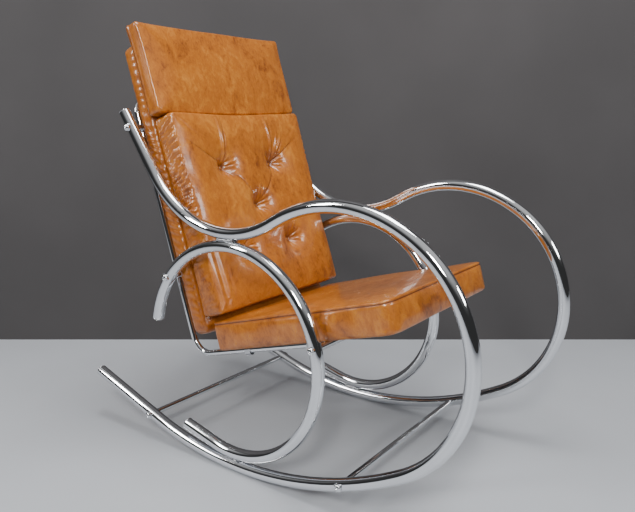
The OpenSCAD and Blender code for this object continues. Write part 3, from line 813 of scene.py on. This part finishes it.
def tuft_folds(pad):
    """Creases, tucks, pleats round the buttons and gathered sides of the buttoned cushion, with painted
    shade in their hollows.
    """
    mesh = pad.data
    points = points_of(mesh)
    facing = normals_of(mesh)
    front = np.clip(1.6 * facing[:, 2] - 0.2, 0, 1)
    drop = np.zeros(len(points))
    dark = np.zeros(len(points))
    seam = np.full(len(points), 0.05)
    for start, end, deep, wide in creases():
        across, along = along_line(points, start, end)
        across = across - 0.004 * np.sin(math.pi * np.clip(along, 0, 1))
        fade = np.clip(along / 0.08, 0, 1) * np.clip((1.0 - along) / 0.3, 0, 1) * (1 - 0.4 * along)
        drop += deep * np.exp(-np.abs(across) / wide) * fade
        strong = deep / 0.0030
        # Painted shade darkens each strong crease, and a thin dark line is drawn along it
        dark = np.maximum(dark, 0.6 * strong * np.exp(-np.abs(across) / (0.4 * wide)) * fade * front)
        crisp = np.where(fade * strong > 0.3, np.abs(across) + 0.0007 * (1 - fade), 0.05)
        seam = np.minimum(seam, np.where(front > 0.3, crisp, 0.05))
    for start, end, high, wide in tucks():
        across, along = along_line(points, start, end)
        fade = np.clip(along / 0.15, 0, 1) * np.clip((1.0 - along) / 0.25, 0, 1)
        ridge = np.exp(-(across / wide) ** 2)
        foot = np.exp(-((across + 1.9 * wide) / (0.8 * wide)) ** 2)
        drop += fade * (0.4 * high * foot - high * ridge)
        # Painted shade lies along the foot of each tuck
        dark = np.maximum(dark, 0.3 * foot * fade * front)
    # Small pleats fan out round each button, mostly on its left as the sitter sees it
    for k, b in enumerate(buttons):
        dx = points[:, 0] - b.x
        dy = points[:, 1] - b.y
        away = np.hypot(dx, dy)
        turn = np.arctan2(dy, dx)
        fan = (np.sin(11 * turn + 1.7 * k + 10 * away) + 0.6 * np.sin(17 * turn - 2.3 * k)
               + 0.35 * np.sin(27 * turn + k))
        reach = np.exp(-((away - 0.017) / 0.013) ** 2) * (0.62 + 0.38 * np.cos(turn - 0.3))
        drop += pleat_high * fan * reach
        # Painted shade darkens each button's dent and the hollows of its pleats
        dark = np.maximum(dark, front * np.exp(-(away / 0.0105) ** 4) * 0.75)
        dark = np.maximum(dark, front * 0.30 * reach * np.clip(fan, 0, 1))
    # Slack vinyl stands in soft upright folds near one lower corner
    lower = np.exp(-((points[:, 0] + 0.20) / 0.022) ** 2 - ((points[:, 1] + 0.15) / 0.08) ** 2)
    drop += 0.0016 * lower * np.sin(2 * math.pi * points[:, 0] / 0.024 + 9 * points[:, 1])
    points[:, 2] -= front * drop
    # Loose gathers down both sides of the boxing, running across it
    on_side = np.clip(1.5 * np.abs(facing[:, 0]) - 0.35, 0, 1)
    wander = wandering(points, (26, 30, 3), order=(1, 2, 0))
    loose = 0.6 + 0.6 * wandering(points, (12, 0, 3), (0, 5, 0), order=(1, 2, 0))
    slant = points[:, 1] - 0.40 * points[:, 2]
    wave = (np.sin(2 * math.pi * slant / gather_gap + 7 * wander)
            + 0.45 * np.sin(2 * math.pi * slant / fine_gather_gap - 5 * wander))
    upper = np.clip((points[:, 1] + half_l * 0.35) / (half_l * 0.6), 0.15, 1)
    off_back = np.clip((points[:, 2] + tuft_thick / 2 - 0.006) / 0.012, 0, 1)
    off_front = np.clip((tuft_thick / 2 - points[:, 2]) / 0.012, 0, 1)
    gathers = on_side * loose * upper * off_back * off_front
    points += facing * ((gather_high * gathers * wave)[:, None])
    # Painted shade darkens the troughs of the gathers
    dark = np.maximum(dark, 0.18 * gathers * np.clip(-wave, 0, 1))
    # A ridge of doubled vinyl runs down each side, at the rear of the gathers
    ridge = on_side * np.exp(-((points[:, 2] + tuft_thick / 2 - 0.014) / 0.0026) ** 2)
    points += facing * ((side_ridge_high * ridge)[:, None])
    lazy = wandering(points, (9, 9, 12), (0, 0, 9))
    free = np.clip((points[:, 2] + tuft_thick / 2) / 0.008, 0, 1)
    points += facing * ((0.0022 * lazy * free)[:, None])
    sagged(points, half_l, 0.06)
    set_points(mesh, points)
    set_attribute(mesh, "seam_distance", seam)
    set_attribute(mesh, "fold_shade", np.clip(dark, 0, 1))


tuft_folds(tuft)
tuft_place = back_plane @ Matrix.Translation((0, tuft_mid, front_n + tuft_thick / 2))
cover_piece(tuft, tuft_place, caramel, ["buttoned_cover", "buttoned_foam"])

# Five covered buttons, each pulled down by waxed twine that is tied to a washer behind
# the board.
button_r = 0.0085
button_n = front_n + tuft_thick - button_deep - 0.004
button_skin = vinyl("button_vinyl", (0.52, 0.19, 0.03), (0.39, 0.12, 0.012),
                    (0.22, 0.055, 0.005), back_lean)
button_bm = bmesh.new()
tie_bm = bmesh.new()
anchor_n = panel_n + 0.0014
for b in buttons:
    spot = Vector((b.x, b.y + tuft_mid, button_n))
    rim = [button_bm.verts.new((spot.x + r, spot.y, spot.z + h)) for r, h in (
        (0, -0.004), (button_r * 0.9, -0.004), (button_r, -0.0015), (button_r * 0.93, 0.0008),
        (button_r * 0.7, 0.0026), (button_r * 0.38, 0.0037), (0, 0.0040))]
    profile = [button_bm.edges.new(pair) for pair in zip(rim, rim[1:])]
    bmesh.ops.spin(button_bm, geom=rim + profile, cent=spot, axis=(0, 0, 1),
                   angle=2 * math.pi, steps=32, use_merge=True, use_duplicate=False)
    tie_len = button_n - 0.004 - anchor_n
    bmesh.ops.create_cone(tie_bm, cap_ends=True, segments=12, radius1=0.001, radius2=0.001, depth=tie_len,
                          matrix=Matrix.Translation((spot.x, spot.y, anchor_n + tie_len / 2)))
for bm in (button_bm, tie_bm):
    bmesh.ops.remove_doubles(bm, verts=bm.verts[:], dist=1e-6)
    bmesh.ops.recalc_face_normals(bm, faces=bm.faces[:])
    bmesh.ops.transform(bm, matrix=back_plane, verts=bm.verts[:])
button_piece = finished_piece("covered_buttons", button_bm, button_skin, ["tuft_buttons"])
set_attribute(button_piece.data, "seam_distance", np.full(len(button_piece.data.vertices), 0.05))


def twine_material():
    material = bpy.data.materials.new("waxed_twine")
    material.use_nodes = True
    tree = material.node_tree
    shader = tree.nodes["Principled BSDF"]
    shader.inputs["Roughness"].default_value = 0.6
    spot = value_node(tree, "ShaderNodeTexCoord")
    lay = value_node(tree, "ShaderNodeTexWave", Scale=420.0, Distortion=1.0)
    shades = value_node(tree, "ShaderNodeValToRGB")
    shades.color_ramp.elements[0].color = (0.10, 0.06, 0.03, 1)
    shades.color_ramp.elements[1].color = (0.30, 0.20, 0.10, 1)
    tree.links.new(spot.outputs["Object"], lay.inputs["Vector"])
    tree.links.new(lay.outputs["Fac"], shades.inputs["Fac"])
    tree.links.new(shades.outputs["Color"], shader.inputs["Base Color"])
    return material


finished_piece("button_twine", tie_bm, twine_material(), ["button_ties"])

# ======================= Head cushion =======================
# A thinner box cushion above the buttoned one. Its near face is flat and tight, and its
# lower edge rolls over the top of the buttoned cushion.
head_width = 0.490
head_thick = 0.043
head_high = 0.772
head_len = head_high - crease_at - 0.001
head_edge = 0.010
head = stuffed_pad("head_cushion", (head_width, head_len, head_thick), (0.006, 0.006), head_edge,
                   0.001, 0.0048, 0.009)


flare_out = 0.006
flare_up = 0.004


def head_seams(pad):
    """A ridge where the boxing is sewn to the back, flared upper corners and a very quiet face, with a
    painted dark seam line and painted shade along the ridge.
    """
    mesh = pad.data
    points = points_of(mesh)
    facing = normals_of(mesh)
    on_side = np.clip(1.5 * np.hypot(facing[:, 0], facing[:, 1]) - 0.4, 0, 1)
    above = points[:, 2] + head_thick / 2 - 0.010
    ridge = on_side * np.exp(-(above / 0.0028) ** 2)
    roll = np.exp(-((above - head_thick + 0.014) / 0.006) ** 2)
    points += facing * (((0.0016 * ridge + 0.0014 * roll * on_side))[:, None])
    lazy = wandering(points, (7, 9, 20), (0, 0, 31))
    free = np.clip((points[:, 2] + head_thick / 2) / 0.008, 0, 1)
    points += facing * ((0.0014 * lazy * free)[:, None])
    corner = np.clip(points[:, 1] / (head_len / 2), 0, 1) ** 3 * np.clip(
        np.abs(points[:, 0]) / (head_width / 2), 0, 1) ** 6
    points[:, 0] += np.sign(points[:, 0]) * flare_out * corner
    points[:, 1] += flare_up * corner
    sagged(points, -head_len / 2, 0.08)
    set_points(mesh, points)
    # Painted shade: a dark seam line on the boxing, and darkening along the sewn ridge
    set_attribute(mesh, "seam_distance", np.where(on_side > 0.05, above + 0.0036, 0.05))
    set_attribute(mesh, "fold_shade", 0.25 * ridge)


head_seams(head)
head_place = back_plane @ Matrix.Translation((0, head_high - head_len / 2, front_n + head_thick / 2))
cover_piece(head, head_place, caramel, ["head_cover", "head_foam"])


# ======================= Dust cover =======================
# Black non-woven cloth closes the underside of the seat. It is stretched flat and stapled
# through the turned-in vinyl into the board.
def dust_cloth_material():
    material = bpy.data.materials.new("dust_cloth")
    material.use_nodes = True
    tree = material.node_tree
    shader = tree.nodes["Principled BSDF"]
    shader.inputs["Roughness"].default_value = 0.95
    spot = value_node(tree, "ShaderNodeTexCoord")
    fibres = value_node(tree, "ShaderNodeTexNoise", Scale=700.0, Detail=3, Distortion=2.0)
    shades = value_node(tree, "ShaderNodeValToRGB")
    shades.color_ramp.elements[0].color = (0.010, 0.010, 0.011, 1)
    shades.color_ramp.elements[1].color = (0.060, 0.060, 0.064, 1)
    bump = value_node(tree, "ShaderNodeBump", Strength=0.4, Distance=0.0004)
    tree.links.new(spot.outputs["Object"], fibres.inputs["Vector"])
    tree.links.new(fibres.outputs["Fac"], shades.inputs["Fac"])
    tree.links.new(shades.outputs["Color"], shader.inputs["Base Color"])
    tree.links.new(fibres.outputs["Fac"], bump.inputs["Height"])
    tree.links.new(bump.outputs["Normal"], shader.inputs["Normal"])
    return material


cloth_margin = 0.074
cloth_thick = 0.0008
cloth_w = seat_width - cloth_margin
cloth_l = seat_len - cloth_margin
cloth_bm = bmesh.new()
bmesh.ops.create_grid(cloth_bm, x_segments=48, y_segments=48, size=0.5)
bmesh.ops.scale(cloth_bm, vec=(cloth_w, cloth_l, 1), verts=cloth_bm.verts[:])
for v in cloth_bm.verts:
    v.co.z = 0.0008 * noise.noise(Vector((v.co.x * 14, v.co.y * 14, 2.0)))
bmesh.ops.solidify(cloth_bm, geom=cloth_bm.faces[:], thickness=cloth_thick)
bmesh.ops.recalc_face_normals(cloth_bm, faces=cloth_bm.faces[:])
cloth_place = seat_plane @ Matrix.Translation((0, -(seat_rear + seat_len / 2), seat_low - cloth_thick))
bmesh.ops.transform(cloth_bm, matrix=cloth_place, verts=cloth_bm.verts[:])
dust = finished_piece("dust_cloth_panel", cloth_bm, dust_cloth_material(),
                      ["seat_dust_cover"])

# ======================= Studio =======================
# A pale floor, a dark wall behind, and four soft lights.
view_yaw = math.radians(53.76)
view_pitch = math.radians(11.57)
view_way = Vector((math.sin(view_yaw), math.cos(view_yaw), 0))


def stage_material(name, colour, roughness, speckle):
    material = bpy.data.materials.new(name)
    material.use_nodes = True
    tree = material.node_tree
    shader = tree.nodes["Principled BSDF"]
    shader.inputs["Roughness"].default_value = roughness
    spot = value_node(tree, "ShaderNodeTexCoord")
    cloud = value_node(tree, "ShaderNodeTexNoise", Scale=2.4, Detail=6)
    shades = value_node(tree, "ShaderNodeMix", data_type="RGBA")
    shades.inputs[6].default_value = (*[c * (1 - speckle) for c in colour], 1)
    shades.inputs[7].default_value = (*[c * (1 + speckle) for c in colour], 1)
    tree.links.new(spot.outputs["Object"], cloud.inputs["Vector"])
    tree.links.new(cloud.outputs["Fac"], shades.inputs[0])
    tree.links.new(shades.outputs[2], shader.inputs["Base Color"])
    return material


def stage_sheet(name, size, place, material):
    mesh = bpy.data.meshes.new(name)
    bm = bmesh.new()
    bmesh.ops.create_grid(bm, x_segments=1, y_segments=1, size=size / 2)
    bmesh.ops.transform(bm, matrix=place, verts=bm.verts[:])
    bm.to_mesh(mesh)
    bm.free()
    mesh.materials.append(material)
    sheet = bpy.data.objects.new(name, mesh)
    bpy.context.collection.objects.link(sheet)


stage_size = 9.0
stage_sheet("floor", stage_size, Matrix.Translation((0, 0, -0.0002)),
            stage_material("pale_floor", (0.45, 0.47, 0.505), 0.55, 0.07))
wall_skin = stage_material("dark_wall", (0.062, 0.059, 0.061), 0.9, 0.22)
wall_tree = wall_skin.node_tree
wall_seen = value_node(wall_tree, "ShaderNodeNewGeometry")
wall_mix = value_node(wall_tree, "ShaderNodeMixShader")
wall_clear = value_node(wall_tree, "ShaderNodeBsdfTransparent")
wall_tree.links.new(wall_seen.outputs["Backfacing"], wall_mix.inputs[0])
wall_tree.links.new(wall_tree.nodes["Principled BSDF"].outputs[0], wall_mix.inputs[1])
wall_tree.links.new(wall_clear.outputs[0], wall_mix.inputs[2])
wall_tree.links.new(wall_mix.outputs[0], wall_tree.nodes["Material Output"].inputs[0])
wall_place = (Matrix.Translation(view_way * 0.74 + Vector((0, 0, stage_size / 2)))
              @ Matrix.Rotation(-view_yaw, 4, "Z") @ Matrix.Rotation(math.pi / 2, 4, "X"))
stage_sheet("wall", stage_size, wall_place, wall_skin)


def soft_light(name, spot, aim, size, power, colour=(1, 1, 1)):
    lamp = bpy.data.lights.new(name, "AREA")
    lamp.shape = "RECTANGLE"
    lamp.size, lamp.size_y = size
    lamp.energy = power
    lamp.color = colour
    holder = bpy.data.objects.new(name, lamp)
    holder.location = spot
    holder.rotation_euler = (Vector(aim) - Vector(spot)).to_track_quat("-Z", "Y").to_euler()
    bpy.context.collection.objects.link(holder)


soft_light("key_light", (-2.4, -1.5, 2.2), (0, 0, 0.4), (0.45, 0.7), 62, (1, 0.98, 0.95))
soft_light("back_light", (-2.2, 1.6, 2.0), (0, 0, 0.5), (0.35, 1.2), 40, (1, 0.98, 0.96))
soft_light("front_light", (0.6, -3.0, 1.9), (0, 0, 0.5), (1.2, 0.6), 36, (1, 0.99, 0.97))
soft_light("top_light", (-0.2, -0.3, 3.0), (0, 0, 0.3), (1.2, 1.2), 58)
world = bpy.data.worlds.new("studio")
world.use_nodes = True
scene.world = world
sky = world.node_tree
where = value_node(sky, "ShaderNodeTexCoord")
split = value_node(sky, "ShaderNodeSeparateXYZ")
ramp = value_node(sky, "ShaderNodeMapRange", interpolation_type="SMOOTHSTEP")
ramp.inputs["From Min"].default_value = 0.25
ramp.inputs["From Max"].default_value = 0.9
ramp.inputs["To Min"].default_value = 0.035
ramp.inputs["To Max"].default_value = 0.60
sky.links.new(where.outputs["Generated"], split.inputs[0])
sky.links.new(split.outputs["Z"], ramp.inputs["Value"])
sky.links.new(ramp.outputs["Result"], sky.nodes["Background"].inputs["Color"])

camera_data = bpy.data.cameras.new("camera")
camera_data.lens = 37.8
camera_data.sensor_width = 36
camera = bpy.data.objects.new("camera", camera_data)
camera.location = (-1.269, contact_y - 0.970, 0.784)
camera.rotation_euler = (math.pi / 2 - view_pitch, 0, -view_yaw)
bpy.context.collection.objects.link(camera)
scene.camera = camera
